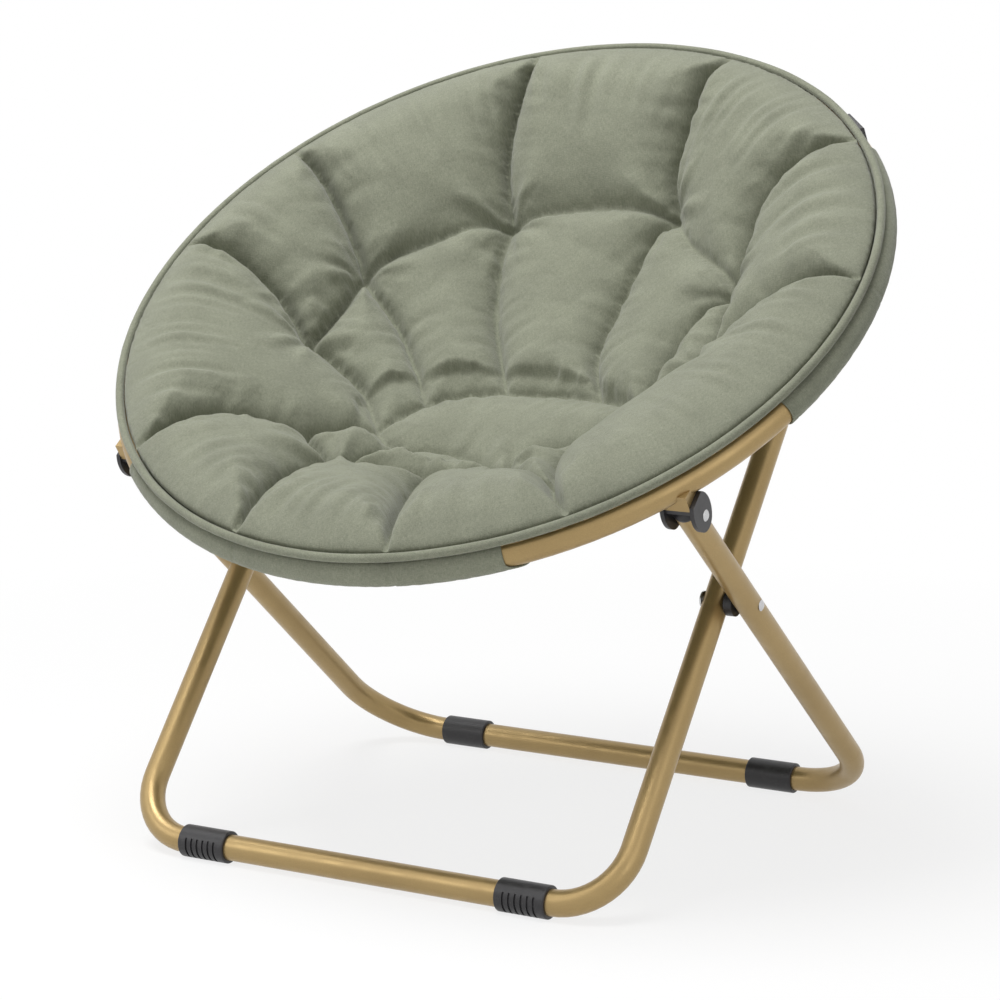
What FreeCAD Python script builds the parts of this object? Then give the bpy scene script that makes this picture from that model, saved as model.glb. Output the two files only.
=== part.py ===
"""Folding saucer chair: a tilted steel ring with a tufted bowl cushion on two crossed U-shaped legs.

All sizes are in millimetres. +Z is up, the sitter faces -Y, and the whole chair is centred over the origin.
The ring has a frame of its own: s runs up the slope of the ring, d is square to its plane.
"""

import FreeCAD
import Part
import math
import os

from FreeCAD import Vector

os.makedirs("parts", exist_ok=True)

# Steel tube
tube_diameter = 25.0
tube_wall = 1.2

# Ring
ring_radius = 382.0
ring_tilt = 35.1
ring_centre_height = 533.0
ring_centre_y = 1.8
ring_vent_diameter = 3.0

# Leg frames: the front feet belong to the inner frame, the rear feet to the outer one
front_floor_y = -247.7
rear_floor_y = 260.3
inner_leg_x = 265.5
outer_leg_x = 299.0
front_corner_radius = 63.0
rear_corner_radius = 86.0

# Where the legs meet the ring, measured square to its plane
hinge_drop = 34.5
hook_drop = 62.0

# How far each part of the fold stops before everything is parallel, in degrees
leg_stop_margin = 4.6
seat_stop_margin = 2.4

# Fits
running_clearance = 0.06
slip_clearance = 0.3
fork_side_clearance = 0.4
seam_gap = 0.3

# Foot sleeves
sleeve_wall = 3.2
sleeve_length = 52.0
sleeve_flat = 0.2
sleeve_rib_count = 6
sleeve_rib_pitch = 6.4
sleeve_groove_width = 2.2
sleeve_groove_depth = 1.3
front_sleeve_x = 176.0
rear_sleeve_x = 186.0

# Hinge forks, saddles and rivets under the front of the ring
cheek_thickness = 4.0
rivet_radius = 4.0
rivet_head_radius = 5.4
rivet_head_height = 2.2
plug_depth = 16.0
plug_wall_step = 6.0
crown_thickness = 2.2
saddle_length = 20.0

# Crossing of the legs
spacer_radius = 13.0
washer_radius = 8.0
washer_thickness = 1.6

# Hooks on the tops of the inner legs
hook_wall = 4.6
hook_length = 32.0
hook_lip_height = 4.0
hook_socket_depth = 34.0
hook_socket_wall = 3.6
hook_socket_cap = 4.0
hook_neck_width = 22.0
hook_pin_radius = 2.5
hook_pin_head_radius = 4.2
hook_pin_head_height = 1.6
hook_pin_back = 18.0

# Soft parts
fabric_thickness = 1.6
sleeve_hem = 0.3
pocket_saddle_gap = 8.5
pocket_to = 26.5
sleeve_from = 69.5
sleeve_to = 127.0
sleeve_back_from = 145.0
piping_radius = 4.2
bowl_depth = 150.0
sling_bore_gap = 8.5
sling_edge_depth = 9.0
sling_thickness = 2.0
cushion_rim_inset = 1.0
seam_thickness = 26.0
tuft_share = 0.48
rim_puff_height = 34.0
back_puff_height = 22.0
seam_height_share = 0.4
pad_centre_s = -95.0
pad_half_width = 142.0
pad_half_depth = 84.0
pad_crown_height = 16.0
pad_tuck = 6.0
pad_floor_rise = 1.5
rim_seam_angles = [12.5, 40.0, 94.0, 123.0, 162.5]

tube_radius = tube_diameter / 2
sling_radius = ring_radius - tube_radius - sling_bore_gap
cushion_rim_radius = ring_radius - cushion_rim_inset
pocket_from = pocket_saddle_gap - math.degrees(math.asin(outer_leg_x / ring_radius))
bar_height = tube_radius + sleeve_wall - sleeve_flat
wrap_inner = tube_radius + sleeve_hem
wrap_outer = wrap_inner + fabric_thickness
rim_base = wrap_outer + seam_gap
ring_centre = Vector(0, ring_centre_y, ring_centre_height)
slope = Vector(0, math.cos(math.radians(ring_tilt)), math.sin(math.radians(ring_tilt)))
lift = Vector(0, -math.sin(math.radians(ring_tilt)), math.cos(math.radians(ring_tilt)))
side = Vector(1, 0, 0)


def on_ring(x, s, d):
    """A point in the ring's own frame, placed in the chair's frame."""
    return ring_centre + side * x + slope * s + lift * d


def to_chair(shape):
    """Moves a shape that was drawn flat, with x, s, d as X, Y, Z, onto the tilted ring."""
    turn = FreeCAD.Rotation(Vector(1, 0, 0), ring_tilt)
    placed = shape.copy()
    placed.Placement = FreeCAD.Placement(ring_centre, turn).multiply(shape.Placement)
    return placed


def mirrored(shape):
    return shape.mirror(Vector(0, 0, 0), Vector(1, 0, 0))


hinge_s = -math.sqrt(ring_radius ** 2 - outer_leg_x ** 2)
hook_s = math.sqrt(ring_radius ** 2 - inner_leg_x ** 2)
hinge_point = on_ring(outer_leg_x, hinge_s, -hinge_drop)
hook_point = on_ring(inner_leg_x, hook_s, -hook_drop)
front_corner = Vector(inner_leg_x, front_floor_y, bar_height)
rear_corner = Vector(outer_leg_x, rear_floor_y, bar_height)
inner_leg_way = (hook_point - front_corner).normalize()
outer_leg_way = (hinge_point - rear_corner).normalize()


def crossing():
    """Where the two legs cross, seen from the side."""
    a = front_corner
    u = inner_leg_way
    b = rear_corner
    w = outer_leg_way
    run = ((b.y - a.y) * w.z - (b.z - a.z) * w.y) / (u.y * w.z - u.z * w.y)
    return Vector(0, a.y + u.y * run, a.z + u.z * run)


cross_point = crossing()
inner_leg_angle = math.degrees(math.atan2(inner_leg_way.z, inner_leg_way.y))
outer_leg_angle = 180 - math.degrees(math.atan2(outer_leg_way.z, outer_leg_way.y))
leg_fold_angle = inner_leg_angle + outer_leg_angle - leg_stop_margin
seat_fold_angle = ring_tilt + outer_leg_angle - seat_stop_margin


def u_path(half_width, corner, way, top_length, radius):
    """The centre line of a U-shaped tube: up one side, along the floor and up the other."""
    across = Vector(1, 0, 0)
    low_left = Vector(-half_width, corner.y, corner.z)
    low_right = Vector(half_width, corner.y, corner.z)
    k = radius * (1 - math.cos(math.radians(45)))
    left_top = low_left + way * top_length
    left_bend = low_left + way * radius
    left_mid = low_left + way * k + across * k
    left_bar = low_left + across * radius
    right_bar = low_right - across * radius
    right_mid = low_right + way * k - across * k
    right_bend = low_right + way * radius
    right_top = low_right + way * top_length
    edges = [
        Part.LineSegment(left_top, left_bend).toShape(),
        Part.Arc(left_bend, left_mid, left_bar).toShape(),
        Part.LineSegment(left_bar, right_bar).toShape(),
        Part.Arc(right_bar, right_mid, right_bend).toShape(),
        Part.LineSegment(right_bend, right_top).toShape(),
    ]
    return Part.Wire(edges)


def swept(path, radius, start, way):
    profile = Part.Wire([Part.makeCircle(radius, start, way)])
    return path.makePipeShell([profile], True, False)


def leg_frame(half_width, corner, way, top_length, radius):
    path = u_path(half_width, corner, way, top_length, radius)
    start = Vector(-half_width, corner.y, corner.z) + way * top_length
    outside = swept(path, tube_radius, start, way)
    inside = swept(path, tube_radius - tube_wall, start, way)
    return outside.cut(inside)


def cross_hole(frame, half_width, y, z, radius, wall):
    """Drills both uprights of a frame along X at one place."""
    reach = tube_radius + wall
    for x in (-half_width, half_width):
        drill = Part.makeCylinder(radius, 2 * reach, Vector(x - reach, y, z), side)
        frame = frame.cut(drill)
    return frame


def ring_sector(inner, outer, from_angle, to_angle):
    """A round sleeve about the ring's tube between two angles, counted from the front towards +X."""
    centre = Vector(0, -ring_radius, 0)
    hoop = Part.Face(Part.Wire([Part.makeCircle(outer, centre, Vector(1, 0, 0))]))
    hole = Part.Face(Part.Wire([Part.makeCircle(inner, centre, Vector(1, 0, 0))]))
    band = hoop.cut(hole)
    band.rotate(Vector(0, 0, 0), Vector(0, 0, 1), from_angle)
    return band.revolve(Vector(0, 0, 0), Vector(0, 0, 1), to_angle - from_angle)


def make_ring():
    outside = Part.makeTorus(ring_radius, tube_radius)
    inside = Part.makeTorus(ring_radius, tube_radius - tube_wall)
    vent = Part.makeCylinder(ring_vent_diameter / 2, tube_radius + 1, Vector(0, -ring_radius, -tube_radius - 1))
    return to_chair(outside.cut(inside).cut(vent))


def ring_space(extra):
    """The ring's tube as a solid, used to cut what is welded or fitted to it."""
    return Part.makeTorus(ring_radius, tube_radius + extra)


def cheek_outline():
    """The pointed-leaf outline of a fork cheek, in s and d from the rivet."""
    rear_top = Vector(0, 5, hinge_drop - 9.5)
    front_top = Vector(0, -15, hinge_drop - 12.5)
    front_low = Vector(0, -13, -8.5)
    rear_low = Vector(0, 8.5, -9.5)
    tip = Vector(0, -3, -14)
    edges = [
        Part.LineSegment(rear_top, front_top).toShape(),
        Part.Arc(front_top, Vector(0, -19, 6), front_low).toShape(),
        Part.Arc(front_low, tip, rear_low).toShape(),
        Part.Arc(rear_low, Vector(0, 13.5, 6), rear_top).toShape(),
    ]
    return Part.Face(Part.Wire(edges))


fork_half_gap = tube_radius + fork_side_clearance
end_radius = math.hypot(tube_radius, plug_wall_step) + 1.0


def fork_block(x_from, x_to):
    block = cheek_outline().extrude(Vector(x_to - x_from, 0, 0))
    block.translate(Vector(x_from, 0, 0))
    return block


def saddle_block(extra):
    """The welded saddle between the ring and the crown of the fork."""
    half = fork_half_gap - 0.4 + extra
    low = end_radius + slip_clearance + crown_thickness - extra
    return Part.makeBox(
        2 * half,
        saddle_length + 2 * extra,
        hinge_drop - low,
        Vector(-half, -15 - extra, low),
    )


def at_hinge(shape):
    """Moves a shape drawn about the rivet, with the rivet along X, to the right-hand hinge."""
    flat = shape.copy()
    flat.translate(Vector(outer_leg_x, hinge_s, -hinge_drop))
    return flat


def make_saddle():
    return to_chair(at_hinge(saddle_block(0)).cut(ring_space(0)))


def make_fork():
    inner_cheek = fork_block(-fork_half_gap - cheek_thickness, -fork_half_gap)
    outer_cheek = fork_block(fork_half_gap, fork_half_gap + cheek_thickness)
    crown = fork_block(-fork_half_gap, fork_half_gap)
    room = 2 * fork_half_gap
    reach = 4 * tube_diameter
    tube_top = tube_radius + fork_side_clearance
    below = Part.makeBox(room, reach, reach, Vector(-fork_half_gap, -reach / 2, tube_top - reach))
    front = Part.makeBox(room, reach, reach, Vector(-fork_half_gap, -reach - 1.2 * tube_radius, -reach / 5))
    crown = crown.cut(below).cut(front)
    crown = crown.cut(Part.makeSphere(end_radius + slip_clearance))
    fork = inner_cheek.fuse(outer_cheek).fuse(crown)
    fork = fork.cut(saddle_block(0.02))
    pin = Part.makeCylinder(rivet_radius, reach, Vector(-reach / 2, 0, 0), side)
    fork = fork.cut(pin)
    fork = at_hinge(fork).cut(ring_space(0.02))
    return to_chair(fork).removeSplitter()


def dome(radius, height, base, way):
    """A low domed rivet head that stands on base and points along way."""
    big = (radius ** 2 + height ** 2) / (2 * height)
    ball = Part.makeSphere(big, base + way * (height - big))
    slab = Part.makeCylinder(radius + 1, height, base, way)
    return ball.common(slab)


def make_hinge_rivet():
    half = fork_half_gap + cheek_thickness
    shank = Part.makeCylinder(rivet_radius, 2 * half, Vector(-half, 0, 0), side)
    outer = dome(rivet_head_radius, rivet_head_height, Vector(half, 0, 0), side)
    inner = dome(rivet_head_radius, rivet_head_height, Vector(-half, 0, 0), side * -1)
    return to_chair(at_hinge(shank.fuse(outer).fuse(inner)))


def make_end_plug():
    """The black plug in the top of an outer leg: a spigot in the bore and a domed cap."""
    way = outer_leg_way
    top = hinge_point + way * plug_wall_step
    spigot = Part.makeCylinder(tube_radius - tube_wall, plug_depth, top - way * plug_depth, way)
    cap = Part.makeCylinder(tube_radius, 30, top, way)
    cap = cap.common(Part.makeSphere(end_radius, hinge_point))
    pin_room = rivet_radius + running_clearance
    pin = Part.makeCylinder(pin_room, 60, hinge_point - side * 30, side)
    return spigot.fuse(cap).cut(pin)


def make_cross_rivet():
    outer_face = outer_leg_x + tube_radius
    inner_face = inner_leg_x - tube_radius - running_clearance - washer_thickness
    start = Vector(inner_face, cross_point.y, cross_point.z)
    end = Vector(outer_face, cross_point.y, cross_point.z)
    shank = Part.makeCylinder(rivet_radius, outer_face - inner_face, start, side)
    head = dome(rivet_head_radius, rivet_head_height, end, side)
    tail = dome(rivet_head_radius, rivet_head_height, start, side * -1)
    return shank.fuse(head).fuse(tail)


def make_cross_washer():
    x = inner_leg_x - tube_radius - running_clearance - washer_thickness
    base = Vector(x, cross_point.y, cross_point.z)
    disc = Part.makeCylinder(washer_radius, washer_thickness, base, side)
    return disc.cut(Part.makeCylinder(rivet_radius, washer_thickness, base, side))


def make_cross_spacer():
    """The black disc that keeps the two crossed tubes apart on the rivet."""
    from_x = inner_leg_x + tube_radius
    to_x = outer_leg_x - tube_radius - slip_clearance
    base = Vector(from_x, cross_point.y, cross_point.z)
    disc = Part.makeCylinder(spacer_radius, to_x - from_x, base, side)
    hole = Part.makeCylinder(rivet_radius + running_clearance, to_x - from_x, base, side)
    return disc.cut(hole)


def make_hook():
    """A black moulding: a socket over the end of the inner leg, a neck, and a cradle for the ring."""
    way = inner_leg_way
    socket_radius = tube_radius + hook_socket_wall
    low = hook_point - way * hook_socket_depth
    socket_length = hook_socket_depth + tube_radius + hook_socket_cap
    socket = Part.makeCylinder(socket_radius, socket_length, low, way)
    bore = Part.makeCylinder(tube_radius, hook_socket_depth + tube_radius, low, way)
    groove = tube_radius + slip_clearance
    half = groove + hook_wall
    turn = math.degrees(math.atan2(inner_leg_x, hook_s))
    cradle = Part.makeBox(
        hook_length,
        2 * half,
        groove + hook_wall + hook_lip_height,
        Vector(-hook_length / 2, -half, -groove - hook_wall),
    )
    edges = [e for e in cradle.Edges if abs(e.Length - hook_length) < 0.01]
    cradle = cradle.makeFillet(hook_wall * 0.45, edges)
    cradle.rotate(Vector(0, 0, 0), Vector(0, 0, 1), -turn)
    cradle.translate(Vector(inner_leg_x, hook_s, 0))
    neck = Part.makeBox(
        hook_neck_width,
        hook_length * 0.9,
        hook_drop - tube_radius,
        Vector(inner_leg_x - hook_neck_width / 2, hook_s - hook_length * 0.45, -hook_drop),
    )
    slot = Part.makeBox(
        2 * hook_length,
        2 * groove,
        2 * tube_radius,
        Vector(-hook_length, -groove, 0),
    )
    slot.rotate(Vector(0, 0, 0), Vector(0, 0, 1), -turn)
    slot.translate(Vector(inner_leg_x, hook_s, 0))
    body = to_chair(cradle.fuse(neck)).fuse(socket)
    body = body.cut(bore).cut(to_chair(ring_space(slip_clearance))).cut(to_chair(slot))
    pin_at = hook_point - way * hook_pin_back
    reach = socket_radius + 5
    pin = Part.makeCylinder(hook_pin_radius, 2 * reach, pin_at - side * reach, side)
    return body.cut(pin).removeSplitter()


def make_hook_pin():
    pin_at = hook_point - inner_leg_way * hook_pin_back
    half = tube_radius + hook_socket_wall
    shank = Part.makeCylinder(hook_pin_radius, 2 * half, pin_at - side * half, side)
    outer = dome(hook_pin_head_radius, hook_pin_head_height, pin_at + side * half, side)
    inner = dome(hook_pin_head_radius, hook_pin_head_height, pin_at - side * half, side * -1)
    return shank.fuse(outer).fuse(inner)


def make_foot_sleeve(x, y, facing):
    """A black sleeve on a floor bar, ribbed on the side that faces out and down."""
    outer = tube_radius + sleeve_wall
    base = Vector(x - sleeve_length / 2, y, bar_height)
    body = Part.makeCylinder(outer, sleeve_length, base, side)
    rims = [e for e in body.Edges if abs(e.Length - 2 * math.pi * outer) < 0.01]
    body = body.makeFillet(sleeve_wall * 0.4, rims)
    first = -(sleeve_rib_count - 1) * sleeve_rib_pitch / 2
    for i in range(sleeve_rib_count):
        at = x + first + i * sleeve_rib_pitch - sleeve_groove_width / 2
        cutter = Part.makeCylinder(outer + 2, sleeve_groove_width, Vector(at, y, bar_height), side)
        core = Part.makeCylinder(outer - sleeve_groove_depth, sleeve_groove_width, Vector(at, y, bar_height), side)
        groove = cutter.cut(core)
        keep_y = y if facing > 0 else y - outer - 4
        keep = Part.makeBox(sleeve_groove_width, outer + 4, 2 * outer, Vector(at, keep_y, bar_height - outer * 1.55))
        body = body.cut(groove.common(keep))
    floor = Part.makeBox(sleeve_length + 2, 4 * outer, outer, Vector(x - sleeve_length / 2 - 1, y - 2 * outer, -outer))
    body = body.cut(floor)
    bore = Part.makeCylinder(tube_radius, sleeve_length, base, side)
    return body.cut(bore)


def sling_height(radius):
    """Depth of the sling's outer face below the ring's plane, on a round arc."""
    drop = bowl_depth - sling_edge_depth
    big = (sling_radius ** 2 + drop ** 2) / (2 * drop)
    return -bowl_depth + big - math.sqrt(big ** 2 - radius ** 2)


def make_sling():
    """The fabric shell under the cushion, turned from a thin arc."""
    outer_edge = Vector(sling_radius, 0, sling_height(sling_radius))
    outer_mid = Vector(sling_radius / 2, 0, sling_height(sling_radius / 2))
    outer_low = Vector(0, 0, -bowl_depth)
    up = Vector(0, 0, sling_thickness)
    edges = [
        Part.Arc(outer_low, outer_mid, outer_edge).toShape(),
        Part.LineSegment(outer_edge, outer_edge + up).toShape(),
        Part.Arc(outer_edge + up, outer_mid + up, outer_low + up).toShape(),
        Part.LineSegment(outer_low + up, outer_low).toShape(),
    ]
    face = Part.Face(Part.Wire(edges))
    return to_chair(face.revolve(Vector(0, 0, 0), Vector(0, 0, 1), 360))


def bowl_place(x, s, rise):
    """A point that stands rise above the inside of the sling."""
    radius = math.hypot(x, s)
    return Vector(x, s, sling_height(radius) + sling_thickness + seam_gap + rise)


def cushion_profile(rim_angle, share):
    """The outline of the cushion in the upright plane from the pad's centre to one place on the rim.

    share scales the crowns of the puffs: 1 in the middle of a channel, less along a seam.
    """
    turn = math.radians(rim_angle)
    rim_x = cushion_rim_radius * math.sin(turn)
    rim_s = -cushion_rim_radius * math.cos(turn)
    run = math.hypot(rim_x, rim_s - pad_centre_s)
    way = Vector(rim_x / run, (rim_s - pad_centre_s) / run, 0)
    pad_run = 1 / math.hypot(way.x / pad_half_width, way.y / pad_half_depth)
    tuft_run = pad_run + (run - pad_run) * tuft_share
    edge_run = run - (cushion_rim_radius - sling_radius)
    low_run = (pad_run + edge_run) / 2

    def plan(distance):
        return (way.x * distance, pad_centre_s + way.y * distance)

    rim_low = Vector(rim_x, rim_s, rim_base)
    rim_high = Vector(rim_x, rim_s, rim_base + 2 * piping_radius)
    tuft = bowl_place(*plan(tuft_run), seam_thickness)
    seat = bowl_place(*plan(pad_run), seam_thickness)
    low_in = bowl_place(*plan(pad_run), 0)
    low_mid = bowl_place(*plan(low_run), 0)
    low_out = bowl_place(*plan(edge_run), 0)
    shoulder = Vector(low_out.x, low_out.y, rim_base)

    def crowned(start, end, height):
        chord = (end - start).normalize()
        up = Vector(-chord.z * way.x, -chord.z * way.y, chord.x * way.x + chord.y * way.y)
        if up.z < 0:
            up = up * -1
        return Part.Arc(start, (start + end) * 0.5 + up * height, end).toShape()

    edges = [
        Part.LineSegment(rim_low, rim_high).toShape(),
        crowned(rim_high, tuft, rim_puff_height * share),
        crowned(tuft, seat, back_puff_height * share),
        Part.LineSegment(seat, low_in).toShape(),
        Part.Arc(low_in, low_mid, low_out).toShape(),
        Part.LineSegment(low_out, shoulder).toShape(),
        Part.LineSegment(shoulder, rim_low).toShape(),
    ]
    return Part.Wire(edges)


def cushion_sector(from_angle, to_angle):
    """One channel of the cushion between two seams, lofted seam to crown to seam."""
    sections = []
    for turn, share in ((0.0, seam_height_share), (0.5, 1.0), (1.0, seam_height_share)):
        sections.append(cushion_profile(from_angle + (to_angle - from_angle) * turn, share))
    return Part.makeLoft(sections, True, False)


def make_seat_pad():
    """The oval pad that the sitter sits on: a crowned top over the round of the sling."""
    oval = Part.Ellipse(Vector(0, pad_centre_s, -bowl_depth), pad_half_width + pad_tuck, pad_half_depth + pad_tuck)
    prism = Part.Face(Part.Wire([oval.toShape()])).extrude(Vector(0, 0, bowl_depth))
    drop = bowl_depth - sling_edge_depth
    big = (sling_radius ** 2 + drop ** 2) / (2 * drop)
    low = -bowl_depth + sling_thickness + seam_gap + pad_floor_rise
    room = Part.makeSphere(big, Vector(0, 0, low + big))
    edge = bowl_place(0, pad_centre_s - pad_half_depth, seam_thickness).z
    crown = (pad_half_width ** 2 + pad_crown_height ** 2) / (2 * pad_crown_height)
    top = edge + pad_crown_height
    ball = Part.makeSphere(crown, Vector(0, pad_centre_s, top - crown))
    return prism.common(room).common(ball)


def make_cushion():
    """The padded bowl: crowned channels round the rim and back, and a crowned pad low in the middle."""
    angles = sorted([-a for a in rim_seam_angles] + rim_seam_angles)
    angles.append(angles[0] + 360)
    solid = None
    for start, end in zip(angles[:-1], angles[1:]):
        sector = cushion_sector(start, end)
        solid = sector if solid is None else solid.fuse(sector)
    return to_chair(solid.fuse(make_seat_pad()))


def make_piping():
    """The cord sewn round the rim of the cushion, just above the ring."""
    radius = cushion_rim_radius + seam_gap + piping_radius
    height = rim_base + piping_radius
    cord = Part.makeTorus(radius, piping_radius, Vector(0, 0, height))
    return to_chair(cord)


def export(name, shape):
    solids = len(shape.Solids)
    if not shape.isValid():
        print("not valid:", name)
    print(name, "solids", solids, "volume cm3", round(shape.Volume / 1000, 2))
    shape.exportStep("parts/" + name + ".step")


def pair(name, shape):
    """Exports a piece that sits on the sitter's left of the drawing, +X, and its mirror image."""
    export(name + "_right", shape)
    export(name + "_left", mirrored(shape))


inner_leg_length = (hook_point - front_corner).Length + tube_radius
outer_leg_length = (hinge_point - rear_corner).Length + plug_wall_step
pin_hole = rivet_radius + running_clearance

front_legs = leg_frame(inner_leg_x, front_corner, inner_leg_way, inner_leg_length, front_corner_radius)
front_legs = cross_hole(front_legs, inner_leg_x, cross_point.y, cross_point.z, pin_hole, 2)
hook_pin_point = hook_point - inner_leg_way * hook_pin_back
front_legs = cross_hole(front_legs, inner_leg_x, hook_pin_point.y, hook_pin_point.z, hook_pin_radius, 2)
rear_legs = leg_frame(outer_leg_x, rear_corner, outer_leg_way, outer_leg_length, rear_corner_radius)
rear_legs = cross_hole(rear_legs, outer_leg_x, cross_point.y, cross_point.z, rivet_radius, 2)
rear_legs = cross_hole(rear_legs, outer_leg_x, hinge_point.y, hinge_point.z, pin_hole, 2)

export("seat_ring", make_ring())
export("front_leg_frame", front_legs)
export("rear_leg_frame", rear_legs)
pair("ring_saddle", make_saddle())
pair("hinge_fork", make_fork())
pair("hinge_rivet", make_hinge_rivet())
pair("rear_leg_end_plug", make_end_plug())
pair("cross_rivet", make_cross_rivet())
pair("cross_washer", make_cross_washer())
pair("cross_spacer", make_cross_spacer())
pair("ring_hook", make_hook())
pair("hook_pin", make_hook_pin())
pair("front_foot_sleeve", make_foot_sleeve(front_sleeve_x, front_floor_y, -1))
pair("rear_foot_sleeve", make_foot_sleeve(rear_sleeve_x, rear_floor_y, 1))
export("seat_sling", make_sling())
export("seat_cushion", make_cushion())
export("cushion_piping", make_piping())
export("front_pocket", to_chair(ring_sector(wrap_inner, wrap_outer, pocket_from, pocket_to)))
side_sleeve = to_chair(ring_sector(wrap_inner, wrap_outer, sleeve_from, sleeve_to))
pair("side_sleeve", side_sleeve)
export("back_sleeve", to_chair(ring_sector(wrap_inner, wrap_outer, sleeve_back_from, 360 - sleeve_back_from)))

print("hinge axis y z", round(hinge_point.y, 3), round(hinge_point.z, 3))
print("crossing y z", round(cross_point.y, 3), round(cross_point.z, 3))
print("hook point y z", round(hook_point.y, 3), round(hook_point.z, 3))
print("leg fold", round(leg_fold_angle, 3), "seat fold", round(seat_fold_angle, 3))
print("ratio", round(seat_fold_angle / leg_fold_angle, 5))
print("bar height", bar_height)
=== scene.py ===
"""A folding saucer chair: a tufted round cushion in a tilted steel ring on two crossed U-shaped legs.

Everything is in metres. +Z is up and the sitter faces -Y. Points on the ring are given as x, s and d:
x runs to the chair's left hand side, s up the slope of the ring and d square to its plane.
"""

import math

import bpy
import numpy as np
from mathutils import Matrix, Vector
from mathutils.geometry import delaunay_2d_cdt


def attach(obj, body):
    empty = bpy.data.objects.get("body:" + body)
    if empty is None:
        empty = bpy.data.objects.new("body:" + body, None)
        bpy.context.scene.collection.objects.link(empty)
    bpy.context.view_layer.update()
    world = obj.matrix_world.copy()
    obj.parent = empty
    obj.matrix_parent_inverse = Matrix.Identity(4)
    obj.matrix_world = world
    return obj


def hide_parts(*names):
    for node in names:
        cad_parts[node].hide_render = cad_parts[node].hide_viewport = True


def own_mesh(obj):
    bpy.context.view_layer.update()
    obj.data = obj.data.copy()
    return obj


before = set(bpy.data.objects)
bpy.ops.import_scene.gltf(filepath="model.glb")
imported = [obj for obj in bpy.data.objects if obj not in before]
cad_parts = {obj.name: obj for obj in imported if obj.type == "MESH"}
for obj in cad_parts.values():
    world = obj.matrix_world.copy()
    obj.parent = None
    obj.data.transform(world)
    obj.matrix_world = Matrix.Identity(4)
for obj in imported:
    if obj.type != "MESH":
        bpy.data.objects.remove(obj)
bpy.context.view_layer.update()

# Steel tube frame
# Two U-shaped legs, the ring and its two saddles are bent steel tube, welded where the saddles meet
# the ring, and powder coated a satin gold that is thinner and darker where parts rub.

gold_paint = (0.405, 0.285, 0.122)
gold_rubbed = (0.275, 0.185, 0.072)
gold_roughness = 0.36
paint_flake_grains = 1500.0
paint_cloud_grains = 7.0
paint_rub_grains = 55.0
paint_peel_grains = 420.0
paint_peel_depth = 0.00006


def new_finish(name):
    """An empty finish: the material, its node tree and its surface shader."""
    material = bpy.data.materials.new(name)
    material.use_nodes = True
    return material, material.node_tree, material.node_tree.nodes["Principled BSDF"]


def node(tree, kind, inputs=None, **fields):
    """Adds one node; an input given as another node's socket is joined to it, any other is a value."""
    made = tree.nodes.new(kind)
    for field, value in fields.items():
        setattr(made, field, value)
    for slot, value in (inputs or {}).items():
        if isinstance(value, bpy.types.NodeSocket):
            tree.links.new(value, made.inputs[slot])
        else:
            made.inputs[slot].default_value = value
    return made


def noise(tree, where, scale, detail=2.0, rough=0.5):
    """Grey noise of so many grains to the metre, read at the given coordinates."""
    inputs = {"Vector": where, "Scale": scale, "Detail": detail, "Roughness": rough}
    return node(tree, "ShaderNodeTexNoise", inputs).outputs["Fac"]


def spread(tree, value, low, high, to_low, to_high):
    """Maps a grey value from one range to another and stops at its ends."""
    inputs = {"Value": value, "From Min": low, "From Max": high, "To Min": to_low, "To Max": to_high}
    return node(tree, "ShaderNodeMapRange", inputs).outputs["Result"]


def mix_colours(tree, share, first, second):
    """Goes from the first colour to the second as share goes from 0 to 1."""
    made = node(tree, "ShaderNodeMix", data_type="RGBA")
    for slot, value in ((0, share), (6, first), (7, second)):
        if isinstance(value, bpy.types.NodeSocket):
            tree.links.new(value, made.inputs[slot])
        else:
            made.inputs[slot].default_value = value if slot == 0 else (*value, 1.0)
    return made.outputs[2]


def relief(tree, height, depth, strength=1.0):
    """A bump of that depth in metres from a grey height."""
    made = node(tree, "ShaderNodeBump", {"Height": height, "Distance": depth, "Strength": strength})
    return made.outputs["Normal"]


def make_gold():
    """Satin gold powder coat: a fine flake, slow clouds of darker paint and a light orange peel."""
    material, tree, surface = new_finish("gold_powder_coat")
    place = node(tree, "ShaderNodeTexCoord").outputs["Object"]
    cloud = spread(tree, noise(tree, place, paint_cloud_grains, 3.0), 0.3, 0.7, 0.0, 0.32)
    flake = noise(tree, place, paint_flake_grains, 1.0)
    colour = mix_colours(tree, cloud, gold_paint, gold_rubbed)
    bright = spread(tree, flake, 0.35, 0.75, 0.94, 1.1)
    lit = node(tree, "ShaderNodeVectorMath", {0: colour, 1: bright}, operation="MULTIPLY").outputs["Vector"]
    tree.links.new(lit, surface.inputs["Base Color"])
    rub = noise(tree, place, paint_rub_grains, 4.0)
    rough = spread(tree, rub, 0.3, 0.7, gold_roughness - 0.05, gold_roughness + 0.08)
    tree.links.new(rough, surface.inputs["Roughness"])
    peel = noise(tree, place, paint_peel_grains, 2.0)
    tree.links.new(relief(tree, peel, paint_peel_depth), surface.inputs["Normal"])
    surface.inputs["Metallic"].default_value = 0.62
    surface.inputs["Coat Weight"].default_value = 0.12
    surface.inputs["Coat Roughness"].default_value = 0.3
    return material


def dress(names, finish):
    """Gives the named pieces of the frame one finish."""
    for name in names:
        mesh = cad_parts[name].data
        mesh.materials.clear()
        mesh.materials.append(finish)


def both_sides(name):
    return [name + "_right", name + "_left"]


dress(["seat_ring", "front_leg_frame", "rear_leg_frame", *both_sides("ring_saddle")], make_gold())

# Moulded black parts
# Forks, hooks, end plugs, spacers and foot sleeves are injection moulded nylon: a fine spark texture,
# slightly glossy, and greyer where the mould's edges and the floor have rubbed it.

black_nylon = (0.020, 0.019, 0.021)
worn_nylon = (0.052, 0.050, 0.052)
scuff_grains = 140.0
mould_grains = 2600.0
mould_depth = 0.00008


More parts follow.
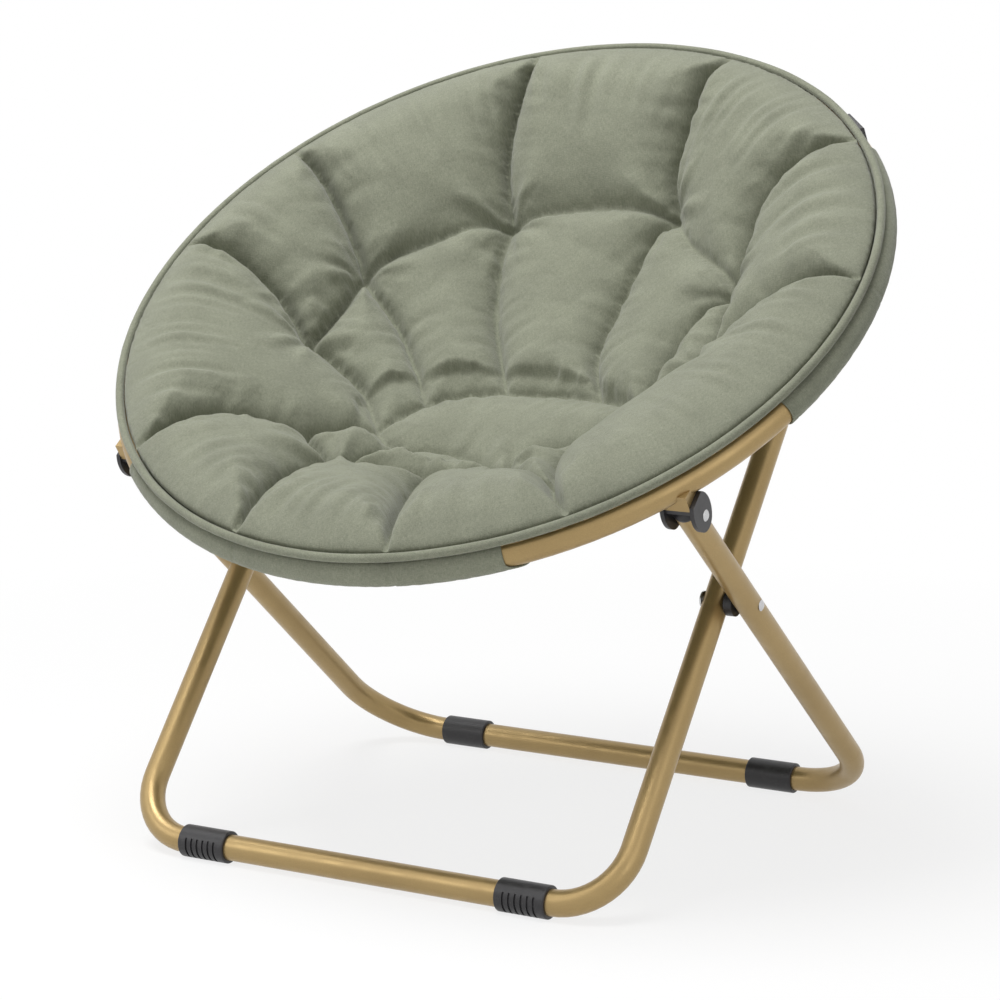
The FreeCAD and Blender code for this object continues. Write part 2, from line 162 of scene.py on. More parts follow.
def make_black():
    """Black nylon: moulded grain in the relief and pale scuffs in patches."""
    material, tree, surface = new_finish("black_nylon")
    place = node(tree, "ShaderNodeTexCoord").outputs["Object"]
    scuff = spread(tree, noise(tree, place, scuff_grains, 5.0, 0.65), 0.52, 0.78, 0.0, 0.8)
    tree.links.new(mix_colours(tree, scuff, black_nylon, worn_nylon), surface.inputs["Base Color"])
    tree.links.new(spread(tree, scuff, 0.0, 0.8, 0.4, 0.62), surface.inputs["Roughness"])
    grain = noise(tree, place, mould_grains, 2.0)
    tree.links.new(relief(tree, grain, mould_depth, 0.7), surface.inputs["Normal"])
    return material


moulded = ["hinge_fork", "rear_leg_end_plug", "cross_spacer", "ring_hook"]
moulded += ["front_foot_sleeve", "rear_foot_sleeve"]
dress([name for part in moulded for name in both_sides(part)], make_black())

# Rivets, washers and pins
# Headed steel, tumbled and zinc plated: a soft shine with fine turning marks.

zinc = (0.62, 0.62, 0.63)
zinc_worn = (0.5, 0.5, 0.5)
scratch_grains = 1900.0
scratch_depth = 0.00004


def make_steel():
    """Plated steel: fine scratches in the roughness over a pale metal."""
    material, tree, surface = new_finish("bright_steel")
    place = node(tree, "ShaderNodeTexCoord").outputs["Object"]
    scratch = noise(tree, place, scratch_grains, 3.0, 0.7)
    tree.links.new(mix_colours(tree, scratch, zinc, zinc_worn), surface.inputs["Base Color"])
    tree.links.new(spread(tree, scratch, 0.3, 0.7, 0.2, 0.42), surface.inputs["Roughness"])
    tree.links.new(relief(tree, scratch, scratch_depth), surface.inputs["Normal"])
    surface.inputs["Metallic"].default_value = 1.0
    return material


fixings = ["hinge_rivet", "cross_rivet", "cross_washer", "hook_pin"]
dress([name for part in fixings for name in both_sides(part)], make_steel())

# Sling
# The bowl of plain cloth that hangs inside the ring and carries the cushion. It is sewn from eight gores
# with a topstitched seam between each two and a round patch in the middle.

ring_centre = np.array([0.0, 0.0018, 0.533])
ring_tilt = math.radians(35.1)
ring_radius = 0.382
tube_radius = 0.0125
bowl_depth = 0.150
sling_radius = 0.361
sling_edge_depth = 0.009
sling_thickness = 0.002
sling_gores = 8
sling_sag = bowl_depth - sling_edge_depth
sling_round = (sling_radius**2 + sling_sag**2) / (2 * sling_sag)
sling_patch_radius = 0.06
stitch_width = 0.0022
seam_sink = 0.0009

sage_light = (0.315, 0.326, 0.248)
sage_dark = (0.168, 0.180, 0.128)
fuzz_grains = 1300.0
mottle_grains = 26.0
crumple_grains = 62.0
crumple_depth = 0.0022
thread_depth = 0.0005


def on_ring(x, s, d):
    """Places ring coordinates in the chair's frame: turned by the tilt about X, then moved to the centre."""
    x, s, d = np.broadcast_arrays(x, s, d)
    y = s * math.cos(ring_tilt) - d * math.sin(ring_tilt)
    z = s * math.sin(ring_tilt) + d * math.cos(ring_tilt)
    return np.stack([x, y, z], -1) + ring_centre


ring_lift = tuple(on_ring(0, 0, 1) - ring_centre)


def new_piece(name, points, faces, finish, cloth=None):
    """Puts points and faces into a smooth mesh whose cloth map holds metres along the fabric."""
    mesh = bpy.data.meshes.new(name)
    mesh.from_pydata(points.reshape(-1, 3).tolist(), [], faces.tolist())
    mesh.materials.append(finish)
    mesh.shade_smooth()
    if cloth is not None:
        where = np.ascontiguousarray(cloth, np.float32).ravel()
        mesh.uv_layers.new(name="cloth").data.foreach_set("uv", where)
    piece = bpy.data.objects.new(name, mesh)
    bpy.context.scene.collection.objects.link(piece)
    return piece


def grid_faces(rows, columns, close_rows, close_columns):
    """Quads between neighbours of a grid, as vertex numbers and as places in its open cloth map."""
    i, j = np.meshgrid(
        np.arange(rows if close_rows else rows - 1),
        np.arange(columns if close_columns else columns - 1),
        indexing="ij",
    )
    i, j = i.ravel(), j.ravel()
    steps = ((0, 0), (1, 0), (1, 1), (0, 1))
    vertices = np.stack([((i + a) % rows) * columns + (j + b) % columns for a, b in steps], -1)
    wide = columns + (1 if close_columns else 0)
    places = np.stack([(i + a) * wide + j + b for a, b in steps], -1)
    return vertices, places


def shell(name, points, cloth, finish, close_rows=False, close_columns=False):
    """A grid of points as one piece, turned so that its faces look outwards."""
    rows, columns = points.shape[:2]
    if close_rows and len(cloth) == rows:
        cloth = np.concatenate([cloth, cloth[:1]])
    vertices, places = grid_faces(rows, columns, close_rows, close_columns)
    flat = points.reshape(-1, 3)
    a, b, c, d = (flat[vertices[:, k]] for k in range(4))
    middle = flat.mean(0)
    volume = np.einsum("ij,ij->", a - middle, np.cross(b - a, c - a) + np.cross(c - a, d - a))
    if volume < 0:
        vertices, places = vertices[:, ::-1], places[:, ::-1]
    return new_piece(name, points, vertices, finish, cloth.reshape(-1, 2)[places])


def make_fabric():
    """Brushed sage cotton: warp streaks, crossing weft threads, fuzz, a slow mottle and a soft sheen."""
    material, tree, surface = new_finish("sage_fabric")
    cloth = node(tree, "ShaderNodeUVMap", uv_map="cloth").outputs["UV"]
    place = node(tree, "ShaderNodeTexCoord").outputs["Object"]

    def threads(across, along):
        inputs = {0: cloth, 1: (across, along, 1.0)}
        scaled = node(tree, "ShaderNodeVectorMath", inputs, operation="MULTIPLY")
        return noise(tree, scaled.outputs["Vector"], 1.0, 2.0, 0.6)

    warp, weft = threads(1150.0, 210.0), threads(260.0, 1500.0)
    fuzz = noise(tree, place, fuzz_grains, 3.0, 0.7)
    mottle = noise(tree, place, mottle_grains, 4.0, 0.6)
    half = node(tree, "ShaderNodeMath", {0: warp, 1: weft}, operation="ADD").outputs["Value"]
    yarn = node(tree, "ShaderNodeMath", {0: half, 1: fuzz}, operation="ADD").outputs["Value"]
    share = spread(tree, yarn, 1.05, 1.95, 0.0, 1.0)
    cloud = spread(tree, mottle, 0.3, 0.7, 0.9, 1.08)
    colour = mix_colours(tree, share, sage_dark, sage_light)
    shaded = node(tree, "ShaderNodeVectorMath", {0: colour, 1: cloud}, operation="MULTIPLY")
    tree.links.new(shaded.outputs["Vector"], surface.inputs["Base Color"])
    crumple = noise(tree, place, crumple_grains, 3.0, 0.55)
    fine = relief(tree, yarn, thread_depth, 0.55)
    inputs = {"Height": crumple, "Distance": crumple_depth, "Strength": 0.35, "Normal": fine}
    soft = node(tree, "ShaderNodeBump", inputs)
    tree.links.new(soft.outputs["Normal"], surface.inputs["Normal"])
    surface.inputs["Roughness"].default_value = 0.92
    surface.inputs["Sheen Weight"].default_value = 0.25
    surface.inputs["Sheen Roughness"].default_value = 0.45
    surface.inputs["Specular IOR Level"].default_value = 0.2
    return material


sage_fabric = make_fabric()


def bowl_height(radius):
    """Height of the sling's outer face over the ring's plane: a round arc through its middle and edge."""
    return -bowl_depth + sling_round - np.sqrt(sling_round**2 - radius**2)


def make_sling():
    """The bowl's arc turned about the ring's axis, its outer face then its inner one, with sunk seams."""
    along = np.linspace(0.0008, 1.0, 90)
    turn = np.linspace(0, 2 * math.pi, 8 * 45, endpoint=False)
    radius = sling_radius * along[:, None] * np.ones(turn.size)
    seam = np.abs(np.sin(turn * sling_gores / 2))[None, :] * radius * 2 / sling_gores
    ridge = np.exp(-(((seam - 2.5 * stitch_width) / stitch_width) ** 2))
    groove = np.exp(-((seam / stitch_width) ** 2)) - 0.55 * ridge
    patch = np.exp(-(((radius - sling_patch_radius) / 0.002) ** 2))
    drape = 0.0009 * np.sin(turn * 24)[None, :] * along[:, None] ** 6
    sink = seam_sink * np.maximum(groove, patch) * np.minimum(1, (1 - along[:, None]) * 40) + drape
    outer = bowl_height(radius) + sink
    inner = bowl_height(radius) + sling_thickness
    radius_all = np.concatenate([radius, radius[::-1]])
    height_all = np.concatenate([outer, inner[::-1]])
    points = on_ring(radius_all * np.sin(turn), -radius_all * np.cos(turn), height_all)
    turn_open = np.append(turn, 2 * math.pi)
    reach = np.concatenate([along, along[::-1]]) * sling_radius
    cloth = np.stack([reach[:, None] * np.sin(turn_open), reach[:, None] * np.cos(turn_open)], -1)
    return shell("sling", points, cloth, sage_fabric, close_rows=True, close_columns=True)


sling = make_sling()
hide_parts("seat_sling")
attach(sling, "seat")
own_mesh(sling)

# Ring sleeves
# Strips of the cushion's cloth sewn round the ring: a pocket under the front edge, one sleeve on each
# side and one over the back. Each is pulled tight, puckers between its seams and ends in a hem.

sleeve_inner = 0.0128
sleeve_outer = 0.0144
hem_width = 0.009
ripple = 0.00045
stitch_sink = 0.0005
seam_pull = 0.0011
low_line_turn = 1.62 * math.pi


def wavelets(position, seed, count, low, high):
    """A sum of sine ripples with random lengths from low to high, between -1 and 1."""
    draw = np.random.default_rng(seed)
    lengths = draw.uniform(low, high, count)
    phases = draw.uniform(0, 2 * math.pi, count)
    sizes = draw.uniform(0.4, 1.0, count)
    waves = np.sin(2 * math.pi * position[..., None] / lengths + phases) * sizes
    return waves.sum(-1) / sizes.sum()


def make_sleeve(name, from_turn, to_turn, seams, tail, seed):
    """A tube of cloth round the ring from one angle to the other: its outer face, then its inner one.

    Ripples run round it and fade at the hems. The seams pull it in, and tail lets its end reach further
    on the underside.
    """
    steps = int(abs(to_turn - from_turn) * ring_radius * 1000 / 2.2) + 2
    around = np.linspace(0, 2 * math.pi, 44, endpoint=False)
    down = np.clip(-np.sin(around), 0, 1) ** 2
    share = np.linspace(0, 1, steps)
    lip = np.linspace(0, 1, 5)[1:-1]
    turn = from_turn + (to_turn - from_turn) * share
    along = turn * ring_radius
    ends = np.minimum(along - along[0], along[-1] - along)
    quiet = np.clip(ends / 0.02, 0, 1)[:, None]
    waves = wavelets(along[:, None] + 0.004 * np.sin(around * 2 + seed), seed, 7, 0.008, 0.03)
    swell = ripple * waves * quiet * (0.35 + 0.65 * down) + 0.0003 * quiet * down
    stitched = np.exp(-(((ends - hem_width) / 0.0009) ** 2))[:, None] * stitch_sink
    off_line = (around - low_line_turn) * sleeve_outer
    low_line = np.exp(-((off_line / 0.0011) ** 2))[None, :] * 0.0004 * quiet
    sewn = sum(np.exp(-(((along - math.radians(seam) * ring_radius) / 0.0013) ** 2)) for seam in seams)
    sewn = sewn[:, None] * seam_pull
    outer = sleeve_outer + swell - stitched - low_line - sewn
    middle, half = (sleeve_inner + sleeve_outer) / 2, (sleeve_outer - sleeve_inner) / 2
    bend = math.pi * lip[:, None]
    end_radius = middle + half * np.cos(bend) * np.ones(around.size)
    end_turn = to_turn + half * np.sin(bend) / ring_radius * np.ones(around.size)
    start_turn = from_turn - half * np.sin(bend[::-1]) / ring_radius * np.ones(around.size)
    inner = np.full((steps, around.size), sleeve_inner)
    radius = np.concatenate([outer, end_radius, inner, end_radius[::-1]])
    wide = turn[:, None] * np.ones(around.size)
    angle = np.concatenate([wide, end_turn, wide[::-1], start_turn])
    reach = np.clip((angle - from_turn) / (to_turn - from_turn), 0, 1) ** 12
    angle = angle + reach * down * tail
    flat = ring_radius + radius * np.cos(around)
    points = on_ring(flat * np.sin(angle), -flat * np.cos(angle), radius * np.sin(around))
    around_open = np.append(around, 2 * math.pi)
    angle_open = np.concatenate([angle, angle[:, :1]], 1)
    cloth = np.stack([angle_open * ring_radius, around_open * sleeve_outer * np.ones(angle_open.shape)], -1)
    sleeve = shell(name + "_cloth", points, cloth, sage_fabric, close_rows=True, close_columns=True)
    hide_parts(name)
    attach(sleeve, "seat")


def turns(*degrees):
    return [math.radians(value) for value in degrees]


make_sleeve("front_pocket", *turns(-43.0, 26.5), [-14.0, 11.0], math.radians(3.0), 3)
make_sleeve("side_sleeve_right", *turns(69.5, 127.0), [94.0], 0.0, 5)
make_sleeve("side_sleeve_left", *turns(-127.0, -69.5), [-94.0], 0.0, 8)
make_sleeve("back_sleeve", *turns(145.0, 215.0), [162.0, 197.0], 0.0, 11)

# Cushion
# A round of brushed cotton filled with polyester wadding. Seams run in from the rim to tufts that are
# pulled through to the back, and on to the oval seat pad. Between them the cloth swells into puffs.

cushion_radius = 0.381
rim_low = 0.0147
rim_high = 0.0231
seam_gap = 0.0003
seam_thickness = 0.026
rim_drop = 0.020
rim_drop_from = 0.300
cloth_step = 0.0052
row_share = 0.866
point_play = 0.16
seam_step = 0.0042
under_step = 0.014
joined_within = 0.0012
rim_puff = 0.044
back_puff = 0.033
front_puff = 0.031
pad_puff = 0.020
puff_slope = 0.046
fold_depth = 0.018
fold_width = 0.035
seam_gather, seam_gather_width = 0.0034, 0.013
rim_fold, rim_fold_width = 0.0055, 0.026
tuft_star, tuft_star_width = 0.0028, 0.019
tuft_tuck, tuft_tuck_width = 0.004, 0.012
spare_cloth = 0.08
rim_gather = 0.06
cloth_frames = 22
cloth_pressure = 6.0
most_swell = 0.026


def rim(turn):
    """The place on the cushion's rim at an angle from the front, in degrees."""
    return (cushion_radius * math.sin(math.radians(turn)), -cushion_radius * math.cos(math.radians(turn)))


tuft_left, tuft_right = (-0.095, 0.190), (0.097, 0.207)
tuft_far_left, tuft_far_right = (-0.222, 0.082), (0.218, 0.090)
tuft_low_left, tuft_low_right = (-0.232, -0.031), (0.231, -0.028)
pad_left, pad_back_left, pad_back = (-0.116, -0.111), (-0.092, -0.054), (-0.020, -0.016)
pad_back_right, pad_right, pad_front_right = (0.096, -0.027), (0.161, -0.060), (0.134, -0.104)
front_left, front_right = (-0.104, -0.207), (0.060, -0.168)
knee_left, knee_middle, knee_right = (-0.165, -0.166), (-0.012, -0.184), (0.148, -0.214)
pad_front = (-0.072, -0.137)
pad_half_width, pad_half_depth, pad_forward = 0.15, 0.085, 0.08

sewn_seams = [
    [rim(-119.5), (-0.301, 0.170), (-0.267, 0.139), (-0.239, 0.107), tuft_far_left],
    [tuft_far_left, (-0.225, 0.030), tuft_low_left],
    [tuft_far_left, (-0.168, 0.039), (-0.140, 0.008), (-0.117, -0.020), pad_back_left],
    [tuft_low_left, (-0.206, -0.037), (-0.181, -0.049), (-0.156, -0.064), (-0.133, -0.089), pad_left],
    [rim(-94), (-0.345, 0.031), (-0.311, 0.022), (-0.283, 0.010), (-0.258, -0.008), tuft_low_left],
    [rim(-163), (-0.117, 0.336), (-0.119, 0.280), (-0.113, 0.240), tuft_left],
    [tuft_left, (-0.095, 0.160), (-0.088, 0.124), (-0.072, 0.077), (-0.052, 0.038), pad_back],
    [rim(162), (0.101, 0.340), (0.092, 0.284), (0.089, 0.245), tuft_right],
    [tuft_right, (0.080, 0.181), (0.069, 0.140), (0.064, 0.080), (0.067, 0.030), pad_back_right],
    [rim(127.5), (0.273, 0.226), (0.240, 0.205), (0.220, 0.165), (0.219, 0.120), tuft_far_right],
    [tuft_far_right, (0.190, 0.070), (0.174, 0.040), (0.166, 0.000), pad_right],
    [rim(94), (0.345, 0.031), (0.311, 0.026), (0.283, 0.014), (0.258, -0.006), tuft_low_right],
    [tuft_far_right, (0.225, 0.030), tuft_low_right],
    [tuft_low_right, (0.200, -0.042), (0.176, -0.060), (0.154, -0.080), pad_front_right],
    [pad_left, (-0.107, -0.083), pad_back_left, (-0.066, -0.032), pad_back],
    [pad_back, (0.029, -0.015), (0.064, -0.019), pad_back_right, (0.132, -0.040), pad_right],
    [pad_right, (0.152, -0.083), pad_front_right],
    [rim(36), (0.200, -0.284), (0.170, -0.246), knee_right],
    [knee_right, (0.130, -0.175), (0.126, -0.136), pad_front_right],
    [rim(11), (0.050, -0.335), (0.004, -0.255), (-0.010, -0.215), knee_middle],
    [rim(-14), (-0.107, -0.325), (-0.118, -0.280), (-0.118, -0.240), front_left],
    [rim(-43.5), (-0.252, -0.230), (-0.222, -0.190), knee_left],
    [knee_left, (-0.142, -0.137), pad_left],
    [knee_left, (-0.132, -0.190), front_left],
    [front_left, (-0.092, -0.170), pad_front],
    [pad_left, (-0.096, -0.128), pad_front],
    [pad_front, (-0.035, -0.128), (0.015, -0.140), front_right],
    [front_left, (-0.060, -0.192), knee_middle, (0.026, -0.182), front_right],
    [front_right, (0.060, -0.140), (0.078, -0.120), (0.106, -0.106), pad_front_right],
    [front_right, (0.085, -0.187), (0.114, -0.205), knee_right],
]
pulled_folds = [
    [tuft_far_left, (-0.200, 0.112), (-0.160, 0.150), (-0.128, 0.176), tuft_left],
    [tuft_left, (-0.050, 0.205), (0.000, 0.215), (0.050, 0.215), tuft_right],
    [tuft_right, (0.141, 0.160), (0.185, 0.126), tuft_far_right],
]
tufts = [tuft_left, tuft_right, tuft_far_left, tuft_far_right]
tufts += [tuft_low_left, tuft_low_right, front_left, front_right]


def smooth_line(points, step):
    """A curve through the points in equal steps, each stretch a cubic that leaves along its neighbours."""
    points = np.array(points, float)
    ends = np.vstack([2 * points[0] - points[1], points, 2 * points[-1] - points[-2]])
    t = np.linspace(0, 1, 40, endpoint=False)[:, None]
    before, start, end, after = ends[:-3], ends[1:-2], ends[2:-1], ends[3:]
    slope_in, slope_out = (end - before) / 2, (after - start) / 2
    cubic = (
        (2 * t**3 - 3 * t**2 + 1)[None] * start[:, None]
        + (t**3 - 2 * t**2 + t)[None] * slope_in[:, None]
        + (3 * t**2 - 2 * t**3)[None] * end[:, None]
        + (t**3 - t**2)[None] * slope_out[:, None]
    )
    line = np.vstack([cubic.reshape(-1, 2), points[-1:]])
    lengths = np.insert(np.cumsum(np.linalg.norm(np.diff(line, axis=0), axis=1)), 0, 0)
    stops = np.linspace(0, lengths[-1], max(2, int(round(lengths[-1] / step)) + 1))
    return np.stack([np.interp(stops, lengths, line[:, axis]) for axis in (0, 1)], -1)


def seam_height(radius):
    """Height of the seams: the sling's inner face raised by the padding under a seam, lower at the rim."""
    low = bowl_height(np.minimum(radius, 0.4)) + sling_thickness + seam_gap + seam_thickness
    return low - rim_drop * np.clip((radius - rim_drop_from) / (cushion_radius - rim_drop_from), 0, 1) ** 2


def nearest(points, targets):
    """Distance from each point to the nearest target and that target's number, worked out in blocks."""
    blocks = np.array_split(points, 40)
    found = [((block[:, None] - targets[None]) ** 2).sum(-1).argmin(1) for block in blocks]
    number = np.concatenate(found)
    return np.linalg.norm(points - targets[number], axis=1), number


def crease(distance, width):
    """How strong a gather is off a seam: nothing on it, full at the given distance, then dying away."""
    return distance / width * np.exp(1 - distance / width)


def gathers(flat, to_seam, along_seam, to_rim, turn):
    """Creases square to the seams, long folds in from the rim and stars round the tufts, in metres.

    Each is a sum of sine ripples along the seam, the rim or the angle about the tuft, times its crease.
    """
    seam_folds = seam_gather * wavelets(along_seam, 41, 9, 0.012, 0.036)
    seam_folds = seam_folds * crease(to_seam, seam_gather_width)
    rim_folds = rim_fold * wavelets(turn * cushion_radius, 43, 9, 0.017, 0.046)
    rim_folds = rim_folds * crease(to_rim, rim_fold_width)
    offset = flat[:, None] - np.array(tufts)[None]
    angle, reach = np.arctan2(offset[..., 1], offset[..., 0]), np.linalg.norm(offset, axis=-1)
    start = np.arange(len(tufts)) * 2.4
    rays = np.sin(angle * 7 + start) + 0.7 * np.sin(angle * 11 + 1.7 * start)
    star = rays * crease(reach, tuft_star_width)
    return seam_folds + rim_folds + tuft_star * star.sum(1)


def dome(distance, width):
    """A quarter round: 0 at a seam, 1 at the given distance from it and beyond."""
    return np.sqrt(1 - (1 - np.clip(distance / width, 0, 1)) ** 2)


def cut_cloth():
    """The cushion's top as a flat net of triangles whose edges follow every seam and fold.

    Points stand on a triangle grid, moved a little at random, away from the seams; then all are joined.
    """
    seams = [smooth_line(seam, seam_step) for seam in sewn_seams]
    folds = [smooth_line(fold, seam_step) for fold in pulled_folds]
    edge_count = int(2 * math.pi * cushion_radius / seam_step)
    edge_turn = np.linspace(0, 2 * math.pi, edge_count, endpoint=False)
    edge = cushion_radius * np.stack([np.sin(edge_turn), -np.cos(edge_turn)], -1)
    draw = np.random.default_rng(21)
    count = int(2 * cushion_radius / cloth_step) + 2
    i, j = np.meshgrid(np.arange(count), np.arange(int(count / row_share) + 2), indexing="ij")
    lattice = np.stack([(i + 0.5 * (j % 2)).ravel(), j.ravel() * row_share], -1)
    lattice = lattice * cloth_step - cushion_radius
    lattice = lattice + draw.uniform(-point_play, point_play, lattice.shape) * cloth_step
    lines = np.vstack(seams + folds)
    inside = np.hypot(lattice[:, 0], lattice[:, 1]) < cushion_radius - 0.6 * cloth_step
    lattice = lattice[inside]
    lattice = lattice[nearest(lattice, lines)[0] > 0.62 * cloth_step]
    net = [edge]
    links = [np.stack([np.arange(len(edge)), np.roll(np.arange(len(edge)), -1)], -1)]
    start = len(edge)
    for line in seams + folds:
        net.append(line)
        links.append(np.stack([np.arange(len(line) - 1), np.arange(1, len(line))], -1) + start)
        start += len(line)
    net.append(lattice)
    flat = [Vector(p) for p in np.vstack(net).tolist()]
    made = delaunay_2d_cdt(flat, np.vstack(links).tolist(), [], 1, joined_within)
    cut = np.array([(p.x, p.y) for p in made[0]])
    along = [np.arange(len(line)) * seam_step + number for number, line in enumerate(seams)]
    return cut, np.array(made[2]), np.vstack(seams), np.concatenate(along), np.vstack(folds)


def cut_underside(turn):
    """The round underside as a flat net: points at the sling's edge and a coarse lattice inside them."""
    edge = sling_radius * np.stack([np.sin(turn), -np.cos(turn)], -1)
    across = np.arange(-sling_radius, sling_radius, under_step)
    x, y = np.meshgrid(across, across, indexing="ij")
    lattice = np.stack([x.ravel(), y.ravel()], -1)
    lattice = lattice[np.hypot(lattice[:, 0], lattice[:, 1]) < sling_radius - 0.7 * under_step]
    flat = [Vector(p) for p in np.vstack([edge, lattice]).tolist()]
    links = np.stack([np.arange(len(edge)), np.roll(np.arange(len(edge)), -1)], -1)
    made = delaunay_2d_cdt(flat, links.tolist(), [], 1, 1e-6)
    return np.array([(p.x, p.y) for p in made[0]]), np.array(made[2])


def swell_cloth(piece, held, gathered):
    """Lets the cloth swell between its seams, which are held: pressure under it and spare cloth in it."""
    piece.shape_key_add(name="Basis")
    cut = piece.shape_key_add(name="cut")
    cut.data.foreach_set("co", gathered.astype(np.float32).ravel())
    group = piece.vertex_groups.new(name="sewn")
    for weight in np.unique(held):
        if weight > 0:
            group.add(np.flatnonzero(held == weight).tolist(), float(weight), "REPLACE")
    cloth = piece.modifiers.new("swell", "CLOTH")
    settings = cloth.settings
    settings.quality = 6
    settings.mass = 0.25
    settings.tension_stiffness = 18
    settings.compression_stiffness = 14
    settings.shear_stiffness = 8
    settings.bending_stiffness = 0.12
    settings.air_damping = 4
    settings.vertex_group_mass = "sewn"
    settings.pin_stiffness = 4
    settings.rest_shape_key = cut
    settings.use_pressure = True
    settings.uniform_pressure_force = cloth_pressure
    settings.effector_weights.gravity = 0
    cloth.collision_settings.use_collision = False
    cloth.point_cache.frame_start = 1
    cloth.point_cache.frame_end = cloth_frames
    for moment in range(1, cloth_frames + 1):
        bpy.context.scene.frame_set(moment)
    swollen = piece.evaluated_get(bpy.context.evaluated_depsgraph_get())
    after = np.zeros(len(piece.data.vertices) * 3, np.float32)
    swollen.data.vertices.foreach_get("co", after)
    piece.modifiers.remove(cloth)
    piece.shape_key_clear()
    piece.vertex_groups.clear()
    bpy.context.scene.frame_set(1)
    return after.reshape(-1, 3).astype(float)


def looks_up(corner):
    """Whether a face, given by its corners, looks out of the ring's upper side."""
    return np.cross(corner[1] - corner[0], corner[2] - corner[0]) @ np.array(ring_lift) > 0


def make_cushion():
    """The swollen top over a round underside that lies in the sling, closed by a low wall at the rim.

    The top starts as domes that rise from the seams' bowl towards its centre, highest at the rim.
    """
    flat, triangles, seams, along, folds = cut_cloth()
    radius = np.hypot(flat[:, 0], flat[:, 1])
    edge = radius > cushion_radius - 1e-5
    to_line, number = nearest(flat, seams)
    to_rim = np.clip(cushion_radius - radius, 0, None)
    to_seam = np.minimum(to_line, to_rim)
    to_fold, _ = nearest(flat, folds)
    sewn = (to_line < 1e-4) | edge
    folded = (to_fold < 1e-4) & ~sewn
    from_pad = np.hypot(flat[:, 0] / pad_half_width, (flat[:, 1] + pad_forward) / pad_half_depth)
    outwards = np.clip((radius - 0.17) / 0.12, 0, 1)
    outwards = outwards * outwards * (3 - 2 * outwards)
    front = np.clip((-flat[:, 1] - 0.05) / 0.1, 0, 1)
    inner = back_puff + (front_puff - back_puff) * front
    crown = inner + (rim_puff - inner) * outwards
    crown = np.where(from_pad < 1, pad_puff, crown)
    height = crown * dome(to_seam, puff_slope)
    height = height - fold_depth * (1 - dome(to_fold, fold_width)) * (to_seam > 0.004)
    about = np.arctan2(flat[:, 0], -flat[:, 1])
    height += gathers(flat, to_line, along[number], to_rim, about) * dome(to_seam, 0.02)
    height[sewn] = 0
    tuck = tuft_tuck * np.exp(-((nearest(flat, np.array(tufts))[0] / tuft_tuck_width) ** 2))
    base = np.where(edge, rim_high, seam_height(radius) - tuck)
    lean = flat / sling_round
    rise = height * np.sqrt(1 - np.clip(radius / sling_round, 0, 1) ** 2)
    x = flat[:, 0] - lean[:, 0] * height
    s = flat[:, 1] - lean[:, 1] * height
    d = base + rise
    top = on_ring(x, s, d)
    more = 1 + spare_cloth + rim_gather * np.clip((radius - 0.22) / 0.16, 0, 1)
    gathered = on_ring(x * more, s * more, d * (1 + spare_cloth))

    turn = about[edge]
    order = np.argsort(turn)
    edge_index = np.flatnonzero(edge)[order]
    turn = turn[order]
    under_flat, under_triangles = cut_underside(turn)
    under_radius = np.hypot(under_flat[:, 0], under_flat[:, 1])
    under_edge = np.flatnonzero(under_radius > sling_radius - 1e-5)
    under_turn = np.arctan2(under_flat[under_edge, 0], -under_flat[under_edge, 1])
    under_edge = under_edge[np.argsort(under_turn)]
    lip_radius = np.array([[cushion_radius], [sling_radius]])
    lip = on_ring(lip_radius * np.sin(turn), -lip_radius * np.cos(turn), rim_low)
    bowl = bowl_height(np.minimum(under_radius, sling_radius)) + sling_thickness + seam_gap
    under = on_ring(under_flat[:, 0], under_flat[:, 1], bowl)
    first, columns = len(top), turn.size
    lip_index = first + np.arange(2 * columns).reshape(2, columns)
    ring_index = np.vstack([edge_index, lip_index, first + 2 * columns + under_edge])
    a, b = ring_index[:-1], ring_index[1:]
    quads = np.stack([a, b, np.roll(b, -1, 1), np.roll(a, -1, 1)], -1).reshape(-1, 4)
    under_triangles = under_triangles + first + 2 * columns
    points = np.vstack([top, lip.reshape(-1, 3), under])
    if not looks_up(points[triangles[0]]):
        triangles = triangles[:, ::-1]
    if looks_up(points[quads[columns]]):
        quads = quads[:, ::-1]
    if looks_up(points[under_triangles[0]]):
        under_triangles = under_triangles[:, ::-1]
    faces = triangles.tolist() + quads.tolist() + under_triangles.tolist()

    mesh = bpy.data.meshes.new("cushion")
    mesh.from_pydata(points.tolist(), [], faces)
    piece = bpy.data.objects.new("cushion", mesh)
    bpy.context.scene.collection.objects.link(piece)
    held = np.ones(len(points))
    held[: len(top)] = np.where(sewn, 1.0, np.where(folded, 0.5, 0.0))
    cut = points.copy()
    cut[: len(top)] = gathered
    swollen = swell_cloth(piece, held, cut)
    move = swollen - points
    far = np.linalg.norm(move, axis=1, keepdims=True)
    points = points + move * np.minimum(1, most_swell / np.maximum(far, 1e-9))
    mesh.vertices.foreach_set("co", points.astype(np.float32).ravel())
    mesh.update()
    corners = np.zeros(len(mesh.loops), np.int32)
    mesh.loops.foreach_get("vertex_index", corners)
    ring = points - ring_centre
    up = np.array([0.0, math.cos(ring_tilt), math.sin(ring_tilt)])
    map_points = np.stack([ring[:, 0], ring @ up], -1) * 1.1
    where = map_points[corners].astype(np.float32).ravel()
    mesh.uv_layers.new(name="cloth").data.foreach_set("uv", where)
    mesh.materials.append(sage_fabric)
    mesh.shade_smooth()
    smooth = piece.modifiers.new("smooth", "SUBSURF")
    smooth.levels = smooth.render_levels = 1
    smooth.boundary_smooth = "ALL"
    return piece


cushion = make_cushion()
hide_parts("seat_cushion")
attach(cushion, "seat")
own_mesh(cushion)

# Piping
# A cord covered in a bias strip of the cushion's cloth, sewn all round the rim between its top and its
# underside. The strip's seam shows as a shallow groove on the inner side.

